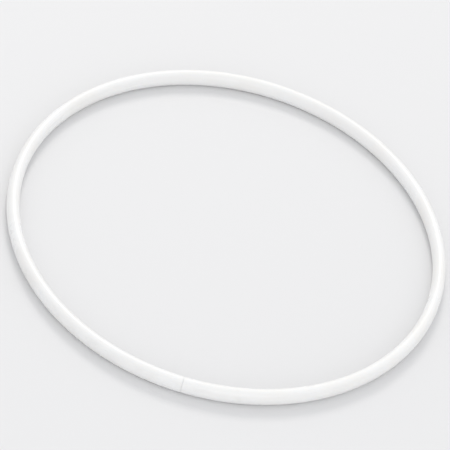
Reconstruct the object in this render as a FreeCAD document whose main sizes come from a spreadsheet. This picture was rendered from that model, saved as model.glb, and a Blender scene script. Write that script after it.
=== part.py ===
import FreeCAD, Part
import math
import os
import Sketcher

# A small gymnastics hoop: one plastic tube bent into a ring, its two ends butted together over
# a plug that sits inside the tube, with one headed pin driven through each end into the plug.
# The hoop lies flat. Its axis is Z, its lowest line lies on Z = 0, and its joint is at -Y.
# Lengths are in millimetres and angles in degrees.

OUTPUT_FOLDER = "parts"
RIBS_PER_END = 3
SIDES = {"left": -1, "right": 1}

SIZES = {
    # the ring and its oval tube: bending has flattened the tube towards the hoop's axis
    "centreline_radius": 125.8,
    "section_width": 7.4,
    "section_height": 10.6,
    "wall": 1.2,
    # the butt joint
    "seam_gap": 0.05,
    # the plug: a smooth land under the seam, ribs beyond it, and a lead at each end
    "plug_length": 64.0,
    "land_length": 34.0,
    "land_clearance": 0.04,
    "rib_clearance": 0.04,
    "core_clearance": 0.35,
    "rib_width": 1.2,
    "plug_lead": 0.6,
    # the pins
    "pin_from_seam": 9.0,
    "pin_radius": 0.7,
    "pin_length": 3.8,
    "pin_point": 0.8,
    "pin_head_radius": 1.25,
    "pin_head_height": 0.45,
    "pin_hole_clearance": 0.03,
    "pin_end_clearance": 0.2,
    "head_recess": 0.3,
    "head_recess_clearance": 0.15,
}

# Sizes that follow from the ones above
DERIVED = {
    "mid_height": "=section_height / 2",
    "inner_radius": "=centreline_radius - section_width / 2",
    "bore_width": "=section_width - 2 * wall",
    "bore_height": "=section_height - 2 * wall",
    "tube_turn": "=360 - seam_gap / centreline_radius * 180 / pi",
    "plug_turn": "=plug_length / centreline_radius * 180 / pi",
    "land_turn": "=land_length / centreline_radius * 180 / pi",
    "rib_turn": "=rib_width / centreline_radius * 180 / pi",
    "rib_pitch": "=(plug_turn - land_turn) / 2 / (rib_count + 0.5)",
    "first_rib": "=land_turn / 2 + rib_pitch",
    "pin_turn": "=pin_from_seam / centreline_radius * 180 / pi",
    "pin_seat_radius": "=inner_radius + head_recess",
    "pin_hole_depth": "=pin_seat_radius + pin_length + pin_end_clearance",
}

# The straight rim's share of a pin head's height; the rest is its dome
HEAD_RIM_SHARE = 0.3

# Angles: a whole turn, the turn from +Y round to the seam at -Y, and one that is replaced by its expression
FULL_TURN = 360.0
FACING_SEAM = 180.0
START_ANGLE = 1.0

# The least volume, in cubic millimetres, that a cut takes away if it meets the solid
LEAST_CUT = 0.1

# How a sketch's constraints name its own origin and axes, and the centre of a circle or an ellipse
ORIGIN_POINT = (-1, 1)
X_AXIS = -1
Y_AXIS = -2
CENTRE = 3


def make_sheet(doc):
    """Writes every size into a spreadsheet, one named cell to a row."""
    sheet = doc.addObject("Spreadsheet::Sheet", "Sizes")
    cells = {name: str(value) for name, value in SIZES.items()}
    cells["rib_count"] = str(RIBS_PER_END)
    cells.update(DERIVED)
    for row, (name, content) in enumerate(cells.items(), start=1):
        sheet.set(f"A{row}", name)
        sheet.setAlias(f"B{row}", name)
        sheet.set(f"B{row}", content)
    doc.recompute()
    return sheet


def origin_plane(body, role):
    """The origin plane of a body that has the given role."""
    for feature in body.Origin.OriginFeatures:
        if feature.Role == role:
            return feature
    raise ValueError(f"{body.Label} has no {role}")


def make_sketch(body, name, role, turn=None):
    """A sketch on an origin plane of the body, turned about Z by the angle that turn gives."""
    sketch = body.newObject("Sketcher::SketchObject", name)
    sketch.AttachmentSupport = [(origin_plane(body, role), "")]
    sketch.MapMode = "FlatFace"
    if turn:
        upright = FreeCAD.Rotation(FreeCAD.Vector(0, 1, 0), START_ANGLE)
        sketch.AttachmentOffset = FreeCAD.Placement(FreeCAD.Vector(), upright)
        sketch.setExpression("AttachmentOffset.Rotation.Angle", turn)
    return sketch


def constrain(sketch, name, expression, *constraint):
    """Adds a constraint, names it and binds it to the sheet."""
    index = sketch.addConstraint(Sketcher.Constraint(*constraint))
    sketch.renameConstraint(index, name)
    sketch.setExpression(f"Constraints.{name}", expression)


def add_oval(sketch, name, width, height):
    """An upright ellipse round the tube's centreline, with its width and height bound to the sheet."""
    radius = SIZES["centreline_radius"]
    half_width = SIZES["section_width"] / 2
    half_height = SIZES["section_height"] / 2
    centre = FreeCAD.Vector(radius, half_height, 0)
    top = centre + FreeCAD.Vector(0, half_height, 0)
    side = centre + FreeCAD.Vector(half_width, 0, 0)
    oval = sketch.addGeometry(Part.Ellipse(top, side, centre), False)
    sketch.exposeInternalGeometry(oval)
    major_axis = oval + 1
    minor_axis = oval + 2
    sketch.addConstraint(Sketcher.Constraint("Vertical", major_axis))
    constrain(sketch, f"{name}_height", height, "Distance", major_axis, 2 * half_height)
    constrain(sketch, f"{name}_width", width, "Distance", minor_axis, 2 * half_width)
    constrain(
        sketch, f"{name}_radius", "Sizes.centreline_radius",
        "DistanceX", *ORIGIN_POINT, oval, CENTRE, radius,
    )
    constrain(
        sketch, f"{name}_centre_height", "Sizes.mid_height",
        "DistanceY", *ORIGIN_POINT, oval, CENTRE, half_height,
    )


def turn_about_axis(body, name, sketch, angle):
    """Revolves a sketch about Z, half of the angle to each side of the sketch."""
    feature = body.newObject("PartDesign::Revolution", name)
    feature.Profile = sketch
    feature.ReferenceAxis = (sketch, ["V_Axis"])
    feature.Midplane = True
    feature.setExpression("Angle", angle)
    return feature


def end_edges(shape, height):
    """Names of the elliptical edges that are as tall as the given height."""
    names = []
    for index, edge in enumerate(shape.Edges, start=1):
        is_ellipse = isinstance(edge.Curve, Part.Ellipse)
        if is_ellipse and math.isclose(2 * edge.Curve.MajorRadius, height, abs_tol=1e-4):
            names.append(f"Edge{index}")
    return names


def chamfer_ends(body, name, base, height, size):
    """Chamfers the two elliptical edges of the given height at the ends of a bent solid."""
    edges = end_edges(base.Shape, height)
    if len(edges) != 2:
        raise ValueError(f"{name} found {len(edges)} end edges instead of 2")
    feature = body.newObject("PartDesign::Chamfer", name)
    feature.Base = (base, edges)
    feature.setExpression("Size", size)
    return feature


def cut_round(body, name, turn, radius, depth):
    """Cuts a round hole outwards from the hoop's axis, at mid height, to the given depth."""
    sketch = make_sketch(body, f"{name}_sketch", "XZ_Plane", turn)
    start_radius = SIZES["pin_radius"]
    start_height = SIZES["section_height"] / 2
    spot = FreeCAD.Vector(0, start_height, 0)
    circle = sketch.addGeometry(Part.Circle(spot, FreeCAD.Vector(0, 0, 1), start_radius), False)
    sketch.addConstraint(Sketcher.Constraint("PointOnObject", circle, CENTRE, Y_AXIS))
    constrain(sketch, "hole_radius", radius, "Radius", circle, start_radius)
    constrain(
        sketch, "hole_height", "Sizes.mid_height",
        "DistanceY", *ORIGIN_POINT, circle, CENTRE, start_height,
    )
    solid_before = body.Shape
    pocket = body.newObject("PartDesign::Pocket", name)
    pocket.Profile = sketch
    pocket.Reversed = True
    pocket.setExpression("Length", depth)
    body.Document.recompute()
    if solid_before.cut(body.Shape).Volume < LEAST_CUT:
        raise ValueError(f"{name} cuts nothing")
    return pocket


def make_tube(doc):
    """The bent tube, cut square at its ends. Each pin has a hole through the inner wall and a recess."""
    body = doc.addObject("PartDesign::Body", "HoopTube")
    body.Label = "hoop_tube"
    section = make_sketch(body, "tube_section", "YZ_Plane")
    add_oval(section, "outside", "Sizes.section_width", "Sizes.section_height")
    add_oval(section, "bore", "Sizes.bore_width", "Sizes.bore_height")
    turn_about_axis(body, "bent_tube", section, "Sizes.tube_turn")
    doc.recompute()
    for side, sign in SIDES.items():
        turn = f"{sign} * Sizes.pin_turn"
        cut_round(
            body, f"{side}_pin_hole", turn,
            "Sizes.pin_radius + Sizes.pin_hole_clearance", "Sizes.centreline_radius",
        )
        cut_round(
            body, f"{side}_head_recess", turn,
            "Sizes.pin_head_radius + Sizes.head_recess_clearance", "Sizes.pin_seat_radius",
        )
    return body


def make_plug(doc):
    """The plug inside the joint: a core, a close-fitting land under the seam, ribs, and pin holes."""
    body = doc.addObject("PartDesign::Body", "JointPlug")
    body.Label = "joint_plug"
    core_width = "Sizes.bore_width - 2 * Sizes.core_clearance"
    core_height = "Sizes.bore_height - 2 * Sizes.core_clearance"
    section = make_sketch(body, "core_section", "YZ_Plane", f"{FACING_SEAM}")
    add_oval(section, "core", core_width, core_height)
    core = turn_about_axis(body, "core", section, "Sizes.plug_turn")
    doc.recompute()
    sheet = doc.Sizes
    chamfer_ends(
        body, "lead", core, sheet.bore_height - 2 * sheet.core_clearance, "Sizes.plug_lead",
    )

    land_section = make_sketch(body, "land_section", "YZ_Plane", f"{FACING_SEAM}")
    add_oval(
        land_section, "land",
        "Sizes.bore_width - 2 * Sizes.land_clearance",
        "Sizes.bore_height - 2 * Sizes.land_clearance",
    )
    turn_about_axis(body, "land", land_section, "Sizes.land_turn")

    for side, sign in SIDES.items():
        rib_place = f"{FACING_SEAM} + {sign} * Sizes.first_rib"
        rib_section = make_sketch(body, f"{side}_rib_section", "YZ_Plane", rib_place)
        add_oval(
            rib_section, "rib",
            "Sizes.bore_width - 2 * Sizes.rib_clearance",
            "Sizes.bore_height - 2 * Sizes.rib_clearance",
        )
        rib = turn_about_axis(body, f"{side}_rib", rib_section, "Sizes.rib_turn")
        doc.recompute()
        ribs = body.newObject("PartDesign::PolarPattern", f"{side}_ribs")
        ribs.Originals = [rib]
        ribs.Axis = (rib_section, ["V_Axis"])
        ribs.Reversed = sign < 0
        ribs.setExpression("Angle", "(Sizes.rib_count - 1) * Sizes.rib_pitch")
        ribs.setExpression("Occurrences", "Sizes.rib_count")
        body.Tip = ribs
        doc.recompute()

    for side, sign in SIDES.items():
        cut_round(
            body, f"{side}_pin_hole", f"{sign} * Sizes.pin_turn",
            "Sizes.pin_radius + Sizes.pin_hole_clearance", "Sizes.pin_hole_depth",
        )
    return body


def add_pin_profile(sketch):
    """Half of the pin's outline: a domed head to the left of the seat, the shank to the right."""
    head_height = SIZES["pin_head_height"]
    rim_height = head_height * HEAD_RIM_SHARE
    head_radius = SIZES["pin_head_radius"]
    dome_height = head_height - rim_height
    dome_radius = (head_radius**2 + dome_height**2) / (2 * dome_height)
    dome_centre = dome_radius - head_height
    half_way = math.asin(head_radius / dome_radius) / 2
    shank_radius = SIZES["pin_radius"]
    length = SIZES["pin_length"]
    shank = length - SIZES["pin_point"]
    outline = [
        (-head_height, 0), (-rim_height, head_radius), (0, head_radius),
        (0, shank_radius), (shank, shank_radius), (length, 0),
    ]
    points = [FreeCAD.Vector(x, y, 0) for x, y in outline]
    middle = FreeCAD.Vector(
        dome_centre - dome_radius * math.cos(half_way), dome_radius * math.sin(half_way), 0,
    )
    dome = sketch.addGeometry(Part.Arc(points[1], middle, points[0]), False)
    rim, seat, side, point, axis = (
        sketch.addGeometry(Part.LineSegment(start, finish), False)
        for start, finish in zip(points[1:], points[2:] + points[:1])
    )
    joins = [
        (dome, 1, rim, 1), (rim, 2, seat, 1), (seat, 2, side, 1),
        (side, 2, point, 1), (point, 2, axis, 1), (axis, 2, dome, 2),
    ]
    for join in joins:
        sketch.addConstraint(Sketcher.Constraint("Coincident", *join))
    sketch.addConstraint(Sketcher.Constraint("PointOnObject", dome, CENTRE, X_AXIS))
    sketch.addConstraint(Sketcher.Constraint("PointOnObject", axis, 1, X_AXIS))
    sketch.addConstraint(Sketcher.Constraint("PointOnObject", axis, 2, X_AXIS))
    sketch.addConstraint(Sketcher.Constraint("PointOnObject", seat, 1, Y_AXIS))
    sketch.addConstraint(Sketcher.Constraint("PointOnObject", seat, 2, Y_AXIS))
    sketch.addConstraint(Sketcher.Constraint("Horizontal", rim))
    sketch.addConstraint(Sketcher.Constraint("Horizontal", side))
    constrain(
        sketch, "head_height", "Sizes.pin_head_height",
        "DistanceX", axis, 2, *ORIGIN_POINT, head_height,
    )
    constrain(
        sketch, "rim_height", f"Sizes.pin_head_height * {HEAD_RIM_SHARE}",
        "DistanceX", rim, 1, *ORIGIN_POINT, rim_height,
    )
    constrain(
        sketch, "head_radius", "Sizes.pin_head_radius",
        "DistanceY", *ORIGIN_POINT, seat, 1, head_radius,
    )
    constrain(
        sketch, "shank_radius", "Sizes.pin_radius",
        "DistanceY", *ORIGIN_POINT, seat, 2, shank_radius,
    )
    constrain(
        sketch, "shank_length", "Sizes.pin_length - Sizes.pin_point",
        "DistanceX", *ORIGIN_POINT, side, 2, shank,
    )
    constrain(
        sketch, "length", "Sizes.pin_length",
        "DistanceX", *ORIGIN_POINT, axis, 1, length,
    )


def make_pin(doc, side, sign):
    """A headed pin, drawn along X from under its head and then turned to point out from the axis."""
    body = doc.addObject("PartDesign::Body", f"JointPin_{side}")
    body.Label = f"joint_pin_{side}"
    profile = make_sketch(body, "half_profile", "XZ_Plane")
    add_pin_profile(profile)
    pin = body.newObject("PartDesign::Revolution", "pin")
    pin.Profile = profile
    pin.ReferenceAxis = (profile, ["H_Axis"])
    pin.Angle = FULL_TURN

    direction = f"(-90 + {sign} * Sizes.pin_turn)"
    body.Placement = FreeCAD.Placement(
        FreeCAD.Vector(), FreeCAD.Rotation(FreeCAD.Vector(0, 0, 1), -90),
    )
    body.setExpression("Placement.Rotation.Angle", direction)
    body.setExpression("Placement.Base.x", f"Sizes.pin_seat_radius * cos({direction} * 1deg)")
    body.setExpression("Placement.Base.y", f"Sizes.pin_seat_radius * sin({direction} * 1deg)")
    body.setExpression("Placement.Base.z", "Sizes.mid_height")
    return body


def check(doc, bodies):
    """Stops the script if any object failed to build or any piece isn't one valid solid."""
    for item in doc.Objects:
        if "Invalid" in item.State or "Error" in item.State:
            raise ValueError(f"{item.Name} failed to build: {item.State}")
    for body in bodies:
        shape = body.Shape
        if shape.isNull() or not shape.isValid() or len(shape.Solids) != 1:
            raise ValueError(f"{body.Label} isn't one valid solid")


def main():
    """Builds the hoop's pieces, checks them and writes each one to a STEP file of its own."""
    doc = FreeCAD.newDocument("Hoop")
    make_sheet(doc)
    bodies = [make_tube(doc), make_plug(doc)]
    bodies += [make_pin(doc, side, sign) for side, sign in SIDES.items()]
    doc.recompute()
    check(doc, bodies)

    os.makedirs(OUTPUT_FOLDER, exist_ok=True)
    for body in bodies:
        body.Shape.exportStep(os.path.join(OUTPUT_FOLDER, f"{body.Label}.step"))
        box = body.Shape.BoundBox
        print(
            f"{body.Label}: {body.Shape.Volume:.1f} mm3, "
            f"{box.XLength:.2f} x {box.YLength:.2f} x {box.ZLength:.2f} mm"
        )


main()
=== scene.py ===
import math

import bmesh
import bpy
import numpy as np
from mathutils import Matrix, Vector, noise


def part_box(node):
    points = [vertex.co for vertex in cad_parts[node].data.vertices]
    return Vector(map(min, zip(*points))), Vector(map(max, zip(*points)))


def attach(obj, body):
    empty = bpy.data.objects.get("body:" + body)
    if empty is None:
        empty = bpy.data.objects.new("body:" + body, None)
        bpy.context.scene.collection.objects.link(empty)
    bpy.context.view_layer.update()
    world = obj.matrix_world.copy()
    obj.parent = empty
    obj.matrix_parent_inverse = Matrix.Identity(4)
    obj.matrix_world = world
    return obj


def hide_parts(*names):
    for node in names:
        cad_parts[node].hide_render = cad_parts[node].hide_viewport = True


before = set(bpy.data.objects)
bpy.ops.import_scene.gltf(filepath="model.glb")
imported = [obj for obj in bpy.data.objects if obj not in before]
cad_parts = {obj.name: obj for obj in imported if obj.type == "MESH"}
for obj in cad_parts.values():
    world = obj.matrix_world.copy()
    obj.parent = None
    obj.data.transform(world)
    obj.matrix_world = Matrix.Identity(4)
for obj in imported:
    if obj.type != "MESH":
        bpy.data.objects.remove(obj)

# A small white plastic hoop lying flat on a pale floor. Its axis is Z and its butt joint is at -Y.
# Lengths are in metres and angles in radians. The ring's sizes and the pins' directions are read
# from the CAD frame. The wall, the seam and the pins' own sizes repeat those of the CAD parts.

MM = 0.001
FULL_TURN = 2 * math.pi
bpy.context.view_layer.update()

# ---------------------------------------------------------------- the ring and its joint


def mesh_points(mesh):
    """The places of a mesh's vertices, one to a row."""
    places = np.zeros(len(mesh.vertices) * 3)
    mesh.vertices.foreach_get("co", places)
    return places.reshape(-1, 3)


def add_object(name, data):
    """A new object in the scene, with its mesh, lamp or camera."""
    added = bpy.data.objects.new(name, data)
    bpy.context.scene.collection.objects.link(added)
    return added


def ring_sizes():
    """The centreline's radius, the tube's width towards the axis, and its height, from the CAD tube."""
    places = mesh_points(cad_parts["hoop_tube"].data)
    radii = np.hypot(places[:, 0], places[:, 1])
    low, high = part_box("hoop_tube")
    return (radii.max() + radii.min()) / 2, radii.max() - radii.min(), high.z - low.z


RADIUS, WIDTH, HEIGHT = ring_sizes()
HALF_WIDTH = WIDTH / 2
HALF_HEIGHT = HEIGHT / 2
WALL = 1.2 * MM
SEAM_GAP = 0.05 * MM
SEAM_ANGLE = -math.pi / 2
TUBE_LENGTH = FULL_TURN * RADIUS - SEAM_GAP
PINS = ("joint_pin_left", "joint_pin_right")


def pin_angle(pin):
    """The direction of a pin, seen from the hoop's axis. The pin's point is its farthest vertex."""
    places = mesh_points(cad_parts[pin].data)
    x, y, _ = places[np.hypot(places[:, 0], places[:, 1]).argmax()]
    return math.atan2(y, x)


def along_tube(angle):
    """The distance along the centreline from the start of the tube, at the seam, to an angle."""
    turn = (angle - SEAM_ANGLE) % FULL_TURN
    return turn * RADIUS - SEAM_GAP / 2


# ---------------------------------------------------------------- the tube's mesh

END_ROUND = 0.12 * MM          # worn edge of the cut ends
END_SQUEEZE = 0.05 * MM        # the tube's first end is this much thinner, all round
SQUEEZE_LENGTH = 9 * MM
WAVE_DEPTH = 0.035 * MM        # slow unevenness of the extruded wall
WAVE_LENGTH = 45 * MM          # along the tube
WAVE_WIDTH = 25 * MM           # across it
WAVE_SHIFT = 7                 # picks a stretch of the noise
RECESS_RADIUS = 1.4 * MM       # spot face under a pin's head
RECESS_DEPTH = 0.3 * MM
HOLE_RADIUS = 0.73 * MM
LIP_HEIGHT = 0.05 * MM         # plastic pushed up round the recess
LIP_WIDTH = 0.28 * MM

# Steps of the mesh: along the outside and the bore, at the pins and at the ends, and round the oval
OUTSIDE_STEP = 0.9 * MM
BORE_STEP = 2.4 * MM
PIN_STEP = 0.2 * MM
END_STEP = 0.02 * MM
OVAL_STEP = 0.42 * MM
INNER_FLANK_STEP = 0.2 * MM
STEP_GROWTH = 0.22             # growth of a step for each metre away from a fine place
OVAL_SAMPLES = 4001            # places at which the oval's outline is measured


def graded(length, coarse, places):
    """Positions from 0 to length. Steps are fine at each (place, fine step) and grow to coarse."""
    found = [0.0]
    while found[-1] < length:
        here = found[-1]
        step = min([coarse] + [fine + STEP_GROWTH * abs(here - place) for place, fine in places])
        found.append(here + step)
    return np.array(found) * (length / found[-1])


def oval_angles():
    """Parameters round the oval, evenly spaced along its outline, finer on the inner flank."""
    even = np.linspace(0, FULL_TURN, OVAL_SAMPLES)
    speed = np.hypot(HALF_WIDTH * np.sin(even), HALF_HEIGHT * np.cos(even))
    travelled = np.concatenate([[0], np.cumsum((speed[1:] + speed[:-1]) / 2 * np.diff(even))])
    inner_flank = travelled[-1] / 2
    spaced = graded(travelled[-1], OVAL_STEP, [(inner_flank, INNER_FLANK_STEP)])
    return np.interp(spaced[:-1], travelled, even)


def end_inset(distance):
    """How far a cut end's edge is worn back, at a distance from the end."""
    share = np.clip(1 - distance / END_ROUND, 0, 1)
    return END_ROUND * (1 - np.sqrt(1 - share**2))


def outer_offset(lengths, radial, axial):
    """How far the outside stands off the plain oval, along its normal: inwards, but for the lips."""
    from_ends = np.minimum(lengths, TUBE_LENGTH - lengths)
    offset = -end_inset(from_ends)
    offset -= END_SQUEEZE * np.exp(-(lengths / SQUEEZE_LENGTH) ** 2)
    waves = np.array([
        noise.noise(Vector((s / WAVE_LENGTH, x / WAVE_WIDTH + WAVE_SHIFT, z / WAVE_WIDTH)))
        for s, x, z in zip(lengths.ravel(), radial.ravel(), axial.ravel())
    ]).reshape(lengths.shape)
    offset -= WAVE_DEPTH * (0.5 + 0.5 * waves)
    for pin in PINS:
        along = (lengths - along_tube(pin_angle(pin))) * (RADIUS - HALF_WIDTH) / RADIUS
        away = np.hypot(along, axial)
        lip = LIP_HEIGHT * np.exp(-((away - RECESS_RADIUS - LIP_WIDTH / 2) / LIP_WIDTH) ** 2)
        offset += np.where(radial < 0, lip, 0)
    return offset


def skin(lengths, angles, half_width, half_height, offset_at=None):
    """Points of an oval skin, one row to each length. offset_at says how far they stand off it."""
    along, angle = np.meshgrid(lengths, angles, indexing="ij")
    radial = half_width * np.cos(angle)
    axial = half_height * np.sin(angle)
    if offset_at:
        normal_x = half_height * np.cos(angle)
        normal_z = half_width * np.sin(angle)
        normal_length = np.hypot(normal_x, normal_z)
        offset = offset_at(along, radial, axial)
        radial = radial + offset * normal_x / normal_length
        axial = axial + offset * normal_z / normal_length
    turn = SEAM_ANGLE + (along + SEAM_GAP / 2) / RADIUS
    reach = RADIUS + radial
    return np.stack([reach * np.cos(turn), reach * np.sin(turn), HALF_HEIGHT + axial], axis=-1)


def skin_faces(rows, columns, start, outward):
    """Quads of a skin whose points begin at index start. Its columns close on themselves."""
    row, column = np.meshgrid(np.arange(rows - 1), np.arange(columns), indexing="ij")
    following = (column + 1) % columns
    corners = [
        row * columns + column, (row + 1) * columns + column,
        (row + 1) * columns + following, row * columns + following,
    ]
    faces = np.stack(corners, axis=-1).reshape(-1, 4) + start
    return faces if outward else faces[:, ::-1]


def end_faces(outer_row, bore_row, columns, facing_start):
    """Quads that close one cut end, between a row of the outside and a row of the bore."""
    column = np.arange(columns)
    following = (column + 1) % columns
    faces = np.stack([
        outer_row + column, outer_row + following, bore_row + following, bore_row + column,
    ], axis=-1)
    return faces if facing_start else faces[:, ::-1]


def make_tube_mesh():
    """The hollow tube: its outside, its bore and its two cut ends, as one closed mesh."""
    fine_at = [(along_tube(pin_angle(pin)), PIN_STEP) for pin in PINS]
    fine_at += [(0, END_STEP), (TUBE_LENGTH, END_STEP)]
    angles = oval_angles()
    outside_lengths = graded(TUBE_LENGTH, OUTSIDE_STEP, fine_at)
    bore_lengths = graded(TUBE_LENGTH, BORE_STEP, fine_at)
    outside = skin(outside_lengths, angles, HALF_WIDTH, HALF_HEIGHT, outer_offset)
    bore = skin(bore_lengths, angles, HALF_WIDTH - WALL, HALF_HEIGHT - WALL)
    outer_rows, columns = outside.shape[:2]
    bore_rows = bore.shape[0]
    bore_start = outer_rows * columns
    bore_end = bore_start + bore_rows * columns
    faces = np.concatenate([
        skin_faces(outer_rows, columns, 0, True),
        skin_faces(bore_rows, columns, bore_start, False),
        end_faces(0, bore_start, columns, True),
        end_faces(bore_start - columns, bore_end - columns, columns, False),
    ])
    mesh = bpy.data.meshes.new("hoop_shell")
    points = np.concatenate([outside.reshape(-1, 3), bore.reshape(-1, 3)])
    mesh.from_pydata(points.tolist(), [], faces.tolist())
    mesh.validate()
    return mesh


# ---------------------------------------------------------------- the pins' holes

SAME_POINT = 1e-4 * MM         # points nearer than this are one
FLARE = 0.08 * MM              # the recess widens by this much at its mouth
FLARE_DEPTH = 0.07 * MM        # below the tube's plain surface
FLARE_OVERLAP = 0.01 * MM      # and above it
CUTTER_REACH = 3 * MM          # from the seat towards the hoop's axis
CUTTER_PAST_WALL = 0.5 * MM
CUTTER_STEPS = 64
STRAY_POINT = 0.003 * MM       # points that the cuts leave this near to another are merged

# The points are sorted along this direction first, so that every run merges the same ones
SLANT = Vector((1, 1.37, 1.71))


def turn_solid(outline, steps):
    """A closed solid made by turning an outline about X. The outline begins and ends on X."""
    solid = bmesh.new()
    profile = [solid.verts.new((x, y, 0)) for x, y in outline]
    edges = [solid.edges.new(pair) for pair in zip(profile, profile[1:])]
    bmesh.ops.spin(
        solid, geom=profile + edges, cent=(0, 0, 0), axis=(1, 0, 0),
        angle=FULL_TURN, steps=steps, use_merge=True,
    )
    bmesh.ops.remove_doubles(solid, verts=solid.verts, dist=SAME_POINT)
    bmesh.ops.recalc_face_normals(solid, faces=solid.faces)
    return solid


def place_at_seat(solid, pin, name):
    """Puts a solid turned about X at a pin's seat, pointing out from the hoop's axis, as an object."""
    seat = Matrix.Translation((RADIUS - HALF_WIDTH + RECESS_DEPTH, 0, HALF_HEIGHT))
    solid.transform(Matrix.Rotation(pin_angle(pin), 4, "Z") @ seat)
    mesh = bpy.data.meshes.new(name)
    solid.to_mesh(mesh)
    solid.free()
    return add_object(name, mesh)


def pin_cutter(pin):
    """A stepped cutter for one pin: its shank's hole, the head's recess and a small flare."""
    mouth_radius = RECESS_RADIUS + FLARE
    tip = WALL + CUTTER_PAST_WALL
    outline = [
        (-CUTTER_REACH, 0), (-CUTTER_REACH, mouth_radius),
        (-RECESS_DEPTH - FLARE_OVERLAP, mouth_radius), (-RECESS_DEPTH + FLARE_DEPTH, RECESS_RADIUS),
        (0, RECESS_RADIUS), (0, HOLE_RADIUS), (tip, HOLE_RADIUS), (tip, 0),
    ]
    return place_at_seat(turn_solid(outline, CUTTER_STEPS), pin, f"{pin}_cutter")


def cut_pin_holes(piece):
    """Cuts the pins' holes out of the tube and keeps the result as plain mesh."""
    cutters = [pin_cutter(pin) for pin in PINS]
    for cutter in cutters:
        modifier = piece.modifiers.new(cutter.name, "BOOLEAN")
        modifier.operation = "DIFFERENCE"
        modifier.solver = "EXACT"
        modifier.object = cutter
    graph = bpy.context.evaluated_depsgraph_get()
    result = bpy.data.meshes.new_from_object(piece.evaluated_get(graph))
    piece.modifiers.clear()
    piece.data = result
    for cutter in cutters:
        bpy.data.objects.remove(cutter)


def clean_cuts(mesh):
    """Takes out the stray points that the cuts leave on edges, and splits the many-sided faces."""
    work = bmesh.new()
    work.from_mesh(mesh)
    work.verts.sort(key=lambda point: point.co.dot(SLANT))
    bmesh.ops.remove_doubles(work, verts=work.verts, dist=STRAY_POINT)
    on_edges = [point for point in work.verts if len(point.link_edges) == 2]
    bmesh.ops.dissolve_verts(work, verts=on_edges)
    many_sided = [face for face in work.faces if len(face.verts) > 4]
    bmesh.ops.triangulate(work, faces=many_sided, ngon_method="BEAUTY")
    work.to_mesh(mesh)
    work.free()


# ---------------------------------------------------------------- the visible tube

TUBE_SHARP = math.radians(32)  # edges that turn more than this aren't smoothed


def add_straight_coordinates(mesh):
    """Stores each point's place in the tube as if it were unrolled straight: across, along, up."""
    places = mesh_points(mesh)
    turn = (np.arctan2(places[:, 1], places[:, 0]) - SEAM_ANGLE) % FULL_TURN
    straight = np.stack([
        np.hypot(places[:, 0], places[:, 1]) - RADIUS, turn * RADIUS, places[:, 2] - HALF_HEIGHT,
    ], axis=-1)
    layer = mesh.attributes.new("straight", "FLOAT_VECTOR", "POINT")
    layer.data.foreach_set("vector", straight.ravel())


def make_shell():
    """The visible tube, which stands for the CAD tube."""
    piece = add_object("hoop_shell", make_tube_mesh())
    cut_pin_holes(piece)
    clean_cuts(piece.data)
    add_straight_coordinates(piece.data)
    piece.data.shade_smooth()
    piece.data.set_sharp_from_angle(angle=TUBE_SHARP)
    piece.data.materials.append(hoop_plastic())
    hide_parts("hoop_tube")
    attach(piece, "root")


# ---------------------------------------------------------------- the visible pins

PIN_HEAD_RADIUS = 1.25 * MM
PIN_HEAD_HEIGHT = 0.45 * MM
PIN_RIM_HEIGHT = 0.135 * MM
PIN_SHANK_RADIUS = 0.7 * MM
PIN_LENGTH = 3.8 * MM
PIN_POINT = 0.8 * MM
PIN_STEPS = 96
DOME_POINTS = 14

# Outward edges that turn more than PIN_ROUNDED are rounded; what turns more than PIN_SHARP stays sharp
PIN_EDGE = 0.035 * MM
PIN_EDGE_SEGMENTS = 3
PIN_ROUNDED = math.radians(35)
PIN_SHARP = math.radians(40)


def pin_outline():
    """Half of a pin's outline, from the top of its domed head to its point. The seat is at 0."""
    rise = PIN_HEAD_HEIGHT - PIN_RIM_HEIGHT
    dome_radius = (PIN_HEAD_RADIUS**2 + rise**2) / (2 * rise)
    spread = math.asin(PIN_HEAD_RADIUS / dome_radius)
    dome = [
        (dome_radius * (1 - math.cos(angle)) - PIN_HEAD_HEIGHT, dome_radius * math.sin(angle))
        for angle in np.linspace(0, spread, DOME_POINTS)
    ]
    body = [
        (0, PIN_HEAD_RADIUS), (0, PIN_SHANK_RADIUS),
        (PIN_LENGTH - PIN_POINT, PIN_SHANK_RADIUS), (PIN_LENGTH, 0),
    ]
    return dome + body


def make_pin(pin):
    """A headed pin with rounded edges, which stands for the CAD pin."""
    solid = turn_solid(pin_outline(), PIN_STEPS)
    sharp = [
        edge for edge in solid.edges
        if edge.is_convex and edge.calc_face_angle(0) > PIN_ROUNDED
    ]
    bmesh.ops.bevel(
        solid, geom=sharp, offset=PIN_EDGE, segments=PIN_EDGE_SEGMENTS, profile=0.5, affect="EDGES",
    )
    piece = place_at_seat(solid, pin, pin.replace("joint", "steel"))
    piece.data.shade_smooth()
    piece.data.set_sharp_from_angle(angle=PIN_SHARP)
    piece.data.materials.append(pin_steel(pin))
    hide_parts(pin)
    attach(piece, "root")


# ---------------------------------------------------------------- materials


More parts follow.
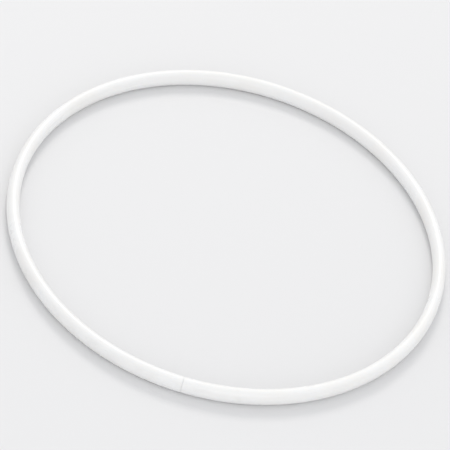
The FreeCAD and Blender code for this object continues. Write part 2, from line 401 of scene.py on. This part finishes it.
class Nodes:
    """A short way to write a material's node tree. Its shader is the Principled one."""

    def __init__(self, name):
        """Starts a material of the given name."""
        self.material = bpy.data.materials.new(name)
        self.material.use_nodes = True
        self.tree = self.material.node_tree
        self.shader = self.tree.nodes["Principled BSDF"]

    def add(self, kind, inputs=None, **settings):
        """Adds a node of a kind, with its settings and the values or links of its inputs."""
        node = self.tree.nodes.new(kind)
        for key, value in settings.items():
            setattr(node, key, value)
        for key, value in (inputs or {}).items():
            self.feed(node.inputs[key], value)
        return node

    def feed(self, socket, value):
        """Links a node's socket to the input, or sets the input to a plain value."""
        if isinstance(value, bpy.types.NodeSocket):
            self.tree.links.new(value, socket)
        else:
            socket.default_value = value

    def noise(self, vector, scale, detail=2.0, roughness=0.5):
        """Noise from 0 to 1, with scale giving its cells to a metre."""
        inputs = {"Vector": vector, "Scale": scale, "Detail": detail, "Roughness": roughness}
        return self.add("ShaderNodeTexNoise", inputs).outputs["Fac"]

    def stretch(self, vector, along):
        """Scales the coordinate along the tube. Below 1, it draws noise out along the tube."""
        factors = (1.0, along, 1.0)
        node = self.add("ShaderNodeMapping", {"Vector": vector, "Scale": factors})
        return node.outputs["Vector"]

    def between(self, value, low, high, to_low=0.0, to_high=1.0):
        """Maps value from low..high to to_low..to_high, smoothly and held at the ends."""
        inputs = {
            "Value": value, "From Min": low, "From Max": high, "To Min": to_low, "To Max": to_high,
        }
        return self.add("ShaderNodeMapRange", inputs, interpolation_type="SMOOTHSTEP").outputs["Result"]

    def maths(self, operation, first, second=0.0, third=0.0):
        """The result of a Math node's operation on up to three values."""
        node = self.add("ShaderNodeMath", operation=operation)
        self.feed(node.inputs[0], first)
        self.feed(node.inputs[1], second)
        self.feed(node.inputs[2], third)
        return node.outputs["Value"]

    def vector_maths(self, operation, first, second=(0, 0, 0)):
        """A Vector Math node for an operation on one or two vectors."""
        node = self.add("ShaderNodeVectorMath", operation=operation)
        self.feed(node.inputs[0], first)
        self.feed(node.inputs[1], second)
        return node

    def blend(self, factor, first, second):
        """A colour that goes from the first to the second as the factor goes from 0 to 1."""
        node = self.add("ShaderNodeMix", data_type="RGBA")
        self.feed(node.inputs["Factor"], factor)
        self.feed(node.inputs["A"], first)
        self.feed(node.inputs["B"], second)
        return node.outputs["Result"]

    def bump(self, height, depth, normal=None):
        """A normal bent by a relief of the given depth, on top of another normal if one is given."""
        node = self.add("ShaderNodeBump", {"Height": height, "Distance": depth, "Strength": 1.0})
        if normal:
            self.feed(node.inputs["Normal"], normal)
        return node.outputs["Normal"]

    def set(self, **values):
        """Sets or links inputs of the Principled shader; underscores in names stand for spaces."""
        for key, value in values.items():
            self.feed(self.shader.inputs[key.replace("_", " ")], value)


WHITE = (0.86, 0.86, 0.855, 1)
WARM_WHITE = (0.842, 0.834, 0.817, 1)
SCUFF_GREY = (0.66, 0.65, 0.63, 1)
RIPPLE_DEPTH = 0.07 * MM
DIE_LINE_DEPTH = 0.022 * MM
PEEL_DEPTH = 0.008 * MM
GRAIN_DEPTH = 0.002 * MM
SCRATCH_DEPTH = 0.012 * MM
SCUFF_TINT = 0.18              # how far scuffs and scratches go towards grey
SCRATCH_TINT = 0.35
LINE_ROUGHNESS = 0.06          # what each adds to the roughness
SCUFF_ROUGHNESS = 0.18
SCRATCH_ROUGHNESS = 0.2


def plastic_scratches(nodes, straight):
    """Hairline scratches: the thin middle line of a drawn-out noise, shown only here and there."""
    field = nodes.noise(nodes.stretch(straight, along=0.16), scale=420.0, detail=3.0, roughness=0.6)
    off_line = nodes.maths("ABSOLUTE", nodes.maths("SUBTRACT", field, 0.5))
    hairline = nodes.between(off_line, low=0.006, high=0.0)
    shown = nodes.between(nodes.noise(straight, scale=160.0), low=0.56, high=0.64)
    return nodes.maths("MULTIPLY", hairline, shown)


def plastic_scuffs(nodes, straight):
    """Duller patches where the hoop rubs on the floor, and round its outside."""
    parts = nodes.add("ShaderNodeSeparateXYZ", {"Vector": straight})
    low_down = nodes.between(parts.outputs["Z"], low=-0.2 * HALF_HEIGHT, high=-HALF_HEIGHT)
    outside = nodes.between(parts.outputs["X"], low=0.45 * HALF_WIDTH, high=HALF_WIDTH)
    exposed = nodes.maths("MAXIMUM", low_down, outside)
    blotches = nodes.noise(straight, scale=90.0, detail=4.0, roughness=0.65)
    return nodes.maths("MULTIPLY", nodes.between(blotches, low=0.48, high=0.66), exposed)


def hoop_plastic():
    """Extruded white plastic: drawn lines along the tube, a slow ripple, fine scratches and scuffs."""
    nodes = Nodes("hoop_plastic")
    straight = nodes.add("ShaderNodeAttribute", attribute_name="straight").outputs["Vector"]
    cloud = nodes.noise(straight, scale=30.0, detail=3.0)
    die_lines = nodes.noise(
        nodes.stretch(straight, along=0.012), scale=1500.0, detail=4.0, roughness=0.65,
    )
    ripple = nodes.noise(nodes.stretch(straight, along=0.3), scale=240.0)
    peel = nodes.noise(straight, scale=1900.0)
    grain = nodes.noise(straight, scale=6500.0)
    scratches = plastic_scratches(nodes, straight)
    scuffs = plastic_scuffs(nodes, straight)

    colour = nodes.blend(nodes.between(cloud, low=0.35, high=0.7), WHITE, WARM_WHITE)
    colour = nodes.blend(nodes.maths("MULTIPLY", scuffs, SCUFF_TINT), colour, SCUFF_GREY)
    colour = nodes.blend(nodes.maths("MULTIPLY", scratches, SCRATCH_TINT), colour, SCUFF_GREY)

    roughness = nodes.between(cloud, low=0.3, high=0.7, to_low=0.23, to_high=0.32)
    roughness = nodes.maths("MULTIPLY_ADD", die_lines, LINE_ROUGHNESS, roughness)
    roughness = nodes.maths("MULTIPLY_ADD", scuffs, SCUFF_ROUGHNESS, roughness)
    roughness = nodes.maths("MULTIPLY_ADD", scratches, SCRATCH_ROUGHNESS, roughness)

    normal = nodes.bump(ripple, RIPPLE_DEPTH)
    normal = nodes.bump(die_lines, DIE_LINE_DEPTH, normal)
    normal = nodes.bump(peel, PEEL_DEPTH, normal)
    normal = nodes.bump(grain, GRAIN_DEPTH, normal)
    normal = nodes.bump(nodes.maths("SUBTRACT", 1.0, scratches), SCRATCH_DEPTH, normal)

    nodes.set(Base_Color=colour, Roughness=roughness, Normal=normal)
    nodes.set(IOR=1.5, Coat_Weight=0.15, Coat_Roughness=0.14)
    nodes.set(Subsurface_Weight=0.12, Subsurface_Scale=1.5 * MM, Subsurface_Radius=(1.0, 0.9, 0.8))
    return nodes.material


STEEL = (0.66, 0.66, 0.67, 1)
PITTED_STEEL = (0.59, 0.59, 0.6, 1)
DARK_RIM_STEEL = (0.38, 0.37, 0.36, 1)
TURNED_RINGS = 9000.0          # to a metre
RING_DEPTH = 0.012 * MM
PIT_DEPTH = 0.003 * MM
DARK_RIM_START = 0.9 * MM      # from the pin's axis
RIM_TINT = 0.4
PIT_ROUGHNESS = 0.1


def distance_from_pin_axis(nodes, pin, place):
    """How far a place is from the line through the middle of a pin."""
    angle = pin_angle(pin)
    direction = Vector((math.cos(angle), math.sin(angle), 0))
    middle = (RADIUS - HALF_WIDTH) * direction + Vector((0, 0, HALF_HEIGHT))
    local = nodes.vector_maths("SUBTRACT", place, middle).outputs["Vector"]
    from_axis = nodes.vector_maths("CROSS_PRODUCT", local, direction).outputs["Vector"]
    return nodes.vector_maths("LENGTH", from_axis).outputs["Value"]


def pin_steel(pin):
    """Bright drawn steel: rings turned round the head, fine pits, and a colour that darkens towards the
    head's rim.
    """
    nodes = Nodes(pin)
    place = nodes.add("ShaderNodeTexCoord").outputs["Object"]
    radius = distance_from_pin_axis(nodes, pin, place)
    ring_inputs = {"W": nodes.maths("MULTIPLY", radius, TURNED_RINGS), "Detail": 3.0}
    rings = nodes.add("ShaderNodeTexNoise", ring_inputs, noise_dimensions="1D").outputs["Fac"]
    pits = nodes.noise(place, scale=4200.0, detail=3.0, roughness=0.6)
    rim = nodes.between(radius, low=DARK_RIM_START, high=PIN_HEAD_RADIUS)

    colour = nodes.blend(nodes.between(pits, low=0.4, high=0.7), STEEL, PITTED_STEEL)
    # the head's colour darkens towards its rim
    colour = nodes.blend(nodes.maths("MULTIPLY", rim, RIM_TINT), colour, DARK_RIM_STEEL)
    roughness = nodes.between(rings, low=0.3, high=0.7, to_low=0.2, to_high=0.38)
    roughness = nodes.maths("MULTIPLY_ADD", pits, PIT_ROUGHNESS, roughness)
    normal = nodes.bump(rings, RING_DEPTH)
    normal = nodes.bump(pits, PIT_DEPTH, normal)
    nodes.set(Base_Color=colour, Metallic=1.0, Roughness=roughness, Normal=normal)
    return nodes.material


PLUG_WHITE = (0.80, 0.79, 0.76, 1)
PLUG_SHADE = (0.70, 0.69, 0.65, 1)
MOULD_GRAIN_DEPTH = 0.01 * MM


def plug_plastic():
    """Moulded plug: matt, faintly mottled, with the fine grain of its mould."""
    nodes = Nodes("plug_plastic")
    place = nodes.add("ShaderNodeTexCoord").outputs["Object"]
    mottle = nodes.noise(place, scale=180.0, detail=4.0, roughness=0.6)
    grain = nodes.noise(place, scale=4000.0, detail=3.0, roughness=0.6)
    colour = nodes.blend(nodes.between(mottle, low=0.35, high=0.65), PLUG_WHITE, PLUG_SHADE)
    roughness = nodes.between(grain, low=0.3, high=0.7, to_low=0.5, to_high=0.68)
    normal = nodes.bump(grain, MOULD_GRAIN_DEPTH)
    nodes.set(Base_Color=colour, Roughness=roughness, Normal=normal, IOR=1.5)
    return nodes.material


def finish_plug():
    """Gives the plug, which is shown as it is, its own material."""
    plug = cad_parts["joint_plug"]
    plug.data.materials.clear()
    plug.data.materials.append(plug_plastic())


# ---------------------------------------------------------------- floor, light and camera


FLOOR_HALF = 6.0               # half of the floor's side
FLOOR_NEAR = (0.74, 0.74, 0.745, 1)
FLOOR_FAR = (0.87, 0.87, 0.875, 1)
FLOOR_NEAR_END = 0.5           # distances from the hoop's centre between which the colour changes
FLOOR_FAR_START = 3.0


def make_floor():
    """A plain pale floor, a little lighter far off so that it meets the room without a line."""
    mesh = bpy.data.meshes.new("floor")
    corners = [(x * FLOOR_HALF, y * FLOOR_HALF, 0) for x, y in ((-1, -1), (1, -1), (1, 1), (-1, 1))]
    mesh.from_pydata(corners, [], [(0, 1, 2, 3)])
    floor = add_object("floor", mesh)
    nodes = Nodes("floor")
    place = nodes.add("ShaderNodeTexCoord").outputs["Object"]
    distance = nodes.vector_maths("LENGTH", place).outputs["Value"]
    far = nodes.between(distance, low=FLOOR_NEAR_END, high=FLOOR_FAR_START)
    colour = nodes.blend(far, FLOOR_NEAR, FLOOR_FAR)
    nodes.set(Base_Color=colour, Roughness=0.6, IOR=1.45)
    mesh.materials.append(nodes.material)


def add_area(name, place, size, power, colour):
    """A square area light that points at the hoop's centre."""
    lamp = bpy.data.lights.new(name, "AREA")
    lamp.size = size
    lamp.energy = power
    lamp.color = colour
    light = add_object(name, lamp)
    light.location = place
    light.rotation_euler = (-Vector(place)).to_track_quat("-Z", "Y").to_euler()


ROOM_COLOUR = (0.985, 0.99, 1.0, 1)
ROOM_AT_HORIZON = 0.87         # strengths of the room's light
ROOM_OVERHEAD = 1.0
WARM_LIGHT = (1.0, 0.975, 0.94)
COOL_LIGHT = (0.97, 0.98, 1.0)


def make_light():
    """A white room, brighter overhead, with a panel at the back left and a weaker one at the front."""
    world = bpy.data.worlds.new("room")
    bpy.context.scene.world = world
    world.use_nodes = True
    tree = world.node_tree
    place = tree.nodes.new("ShaderNodeTexCoord")
    parts = tree.nodes.new("ShaderNodeSeparateXYZ")
    rise = tree.nodes.new("ShaderNodeMapRange")
    rise.inputs["From Min"].default_value = 0.0
    rise.inputs["From Max"].default_value = 1.0
    rise.inputs["To Min"].default_value = ROOM_AT_HORIZON
    rise.inputs["To Max"].default_value = ROOM_OVERHEAD
    background = tree.nodes["Background"]
    background.inputs["Color"].default_value = ROOM_COLOUR
    tree.links.new(place.outputs["Generated"], parts.inputs["Vector"])
    tree.links.new(parts.outputs["Z"], rise.inputs["Value"])
    tree.links.new(rise.outputs["Result"], background.inputs["Strength"])
    add_area("key", place=(-0.4, 1.35, 1.6), size=0.65, power=10, colour=WARM_LIGHT)
    add_area("fill", place=(0.7, -1.7, 0.7), size=1.2, power=5, colour=COOL_LIGHT)
    bpy.context.scene.view_settings.view_transform = "Standard"


CAMERA_PLACE = Vector((0, -1.0086, 1.0073))
CAMERA_AIM = Vector((-0.0026, 0.0068, 0))
CAMERA_ROLL = math.radians(16.49)
CLIP_START = 0.01
LENS = 196.3                   # in millimetres, as is the sensor
SENSOR_WIDTH = 36


def make_camera():
    """A long lens, 1.43 m away, that looks down at 45 degrees from the front and is rolled a little."""
    forward = (CAMERA_AIM - CAMERA_PLACE).normalized()
    level = forward.cross(Vector((0, 0, 1))).normalized()
    upright = level.cross(forward)
    right = level * math.cos(CAMERA_ROLL) + upright * math.sin(CAMERA_ROLL)
    up = right.cross(forward)
    data = bpy.data.cameras.new("camera")
    data.lens = LENS
    data.sensor_width = SENSOR_WIDTH
    data.clip_start = CLIP_START
    camera = add_object("camera", data)
    turned = Matrix((right, up, -forward)).transposed().to_4x4()
    camera.matrix_world = Matrix.Translation(CAMERA_PLACE) @ turned
    bpy.context.scene.camera = camera


make_shell()
for pin in PINS:
    make_pin(pin)
finish_plug()
make_floor()
make_light()
make_camera()
